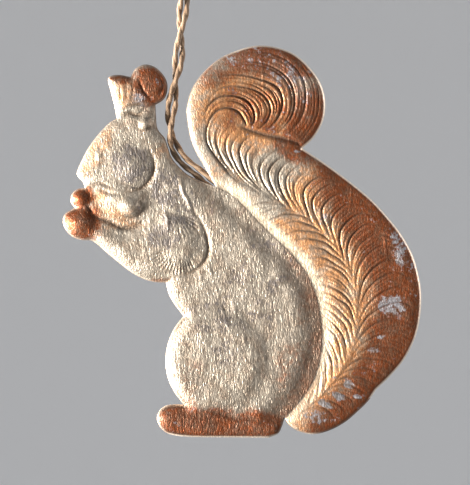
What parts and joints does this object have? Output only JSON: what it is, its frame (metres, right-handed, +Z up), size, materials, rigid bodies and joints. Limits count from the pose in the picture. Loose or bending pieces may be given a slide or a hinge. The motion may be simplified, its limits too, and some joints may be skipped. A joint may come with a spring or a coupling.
{
  "type": "hanging squirrel ornament",
  "caption": "Flat hanging ornament in the shape of a sitting squirrel with a nut: mirrored embossed card halves, silvered and coppered, glued rim to rim on a looped twine thread.",
  "frame": {"origin": "the top of the thread's loop, which the ornament hangs by, in the plane of the seam between the two halves", "axes": "+Z up along the hanging ornament, the squirrel faces -X, its front half faces -Y, so Y is the thickness"},
  "size_m": [0.0715, 0.006, 0.102],
  "materials": {
    "leafed_card": "satin",
    "twine": "matte"
  },
  "bodies": {
    "thread": {"thread_loop": "twine"},
    "ornament": {"front_card": "leafed_card", "back_card": "leafed_card", "thread_end_lower": "twine", "thread_end_upper": "twine"}
  },
  "joints": [
    {"name": "turn_on_thread", "type": "hinge", "parent": "thread", "child": "ornament", "pos_m": [-0.00458, 0, -0.0412], "axis": [0.1105, 0, 0.9939], "continuous": true}
  ]
}
